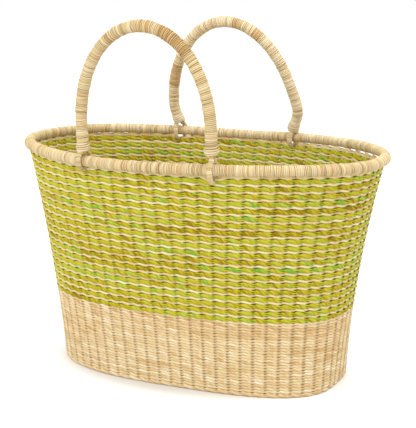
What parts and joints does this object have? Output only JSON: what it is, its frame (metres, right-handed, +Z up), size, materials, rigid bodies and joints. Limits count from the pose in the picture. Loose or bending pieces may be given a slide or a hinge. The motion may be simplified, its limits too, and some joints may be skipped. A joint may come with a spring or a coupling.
{
  "type": "tote basket",
  "caption": "Oval twined grass tote with tapered striped walls, a plain lower band, a wrapped rim and two swinging wrapped handles.",
  "frame": {"origin": "middle of the underside, on the surface it stands on", "axes": "+Z up, X along the oval, -Y the front"},
  "size_m": [0.4208, 0.2611, 0.3952],
  "materials": {
    "plain_straw": "dry twined straw, matte",
    "striped_straw": "dry twined straw between the green rows, matte",
    "green_grass": "dyed grass, matte",
    "wrapping": "split grass wrapping, low sheen",
    "bundle_core": "bundled grass, matte"
  },
  "bodies": {
    "basket": {"base_disc": "plain_straw", "heel_row": "plain_straw", "lower_wall": "plain_straw", "upper_wall": "striped_straw", "stake_crown": "striped_straw", "green_row_01": "green_grass", "green_row_02": "green_grass", "green_row_03": "green_grass", "green_row_04": "green_grass", "green_row_05": "green_grass", "green_row_06": "green_grass", "green_row_07": "green_grass", "green_row_08": "green_grass", "green_row_09": "green_grass", "green_row_10": "green_grass", "green_row_11": "green_grass", "green_row_12": "green_grass", "green_row_13": "green_grass", "green_row_14": "green_grass", "green_row_15": "green_grass", "green_row_16": "green_grass", "green_row_17": "green_grass", "green_row_18": "green_grass", "green_row_19": "green_grass", "green_row_20": "green_grass", "rim_core": "bundle_core", "rim_wrap_right": "wrapping", "rim_wrap_back": "wrapping", "rim_wrap_left": "wrapping", "rim_wrap_front": "wrapping"},
    "front_handle": {"front_handle_core": "bundle_core", "front_handle_wrap": "wrapping", "front_eye_left": "wrapping", "front_eye_right": "wrapping", "front_binding_left": "wrapping", "front_binding_right": "wrapping"},
    "back_handle": {"back_handle_core": "bundle_core", "back_handle_wrap": "wrapping", "back_eye_left": "wrapping", "back_eye_right": "wrapping", "back_binding_left": "wrapping", "back_binding_right": "wrapping"}
  },
  "joints": [
    {"name": "front_handle_swing", "type": "hinge", "parent": "basket", "child": "front_handle", "pos_m": [-0.0082, -0.1163, 0.247], "axis": [0.9999, -0.0163, 0], "range_deg": [-53, 145]},
    {"name": "back_handle_swing", "type": "hinge", "parent": "basket", "child": "back_handle", "pos_m": [-0.0082, 0.1163, 0.247], "axis": [-0.9999, -0.0163, 0], "range_deg": [-36, 160]}
  ]
}
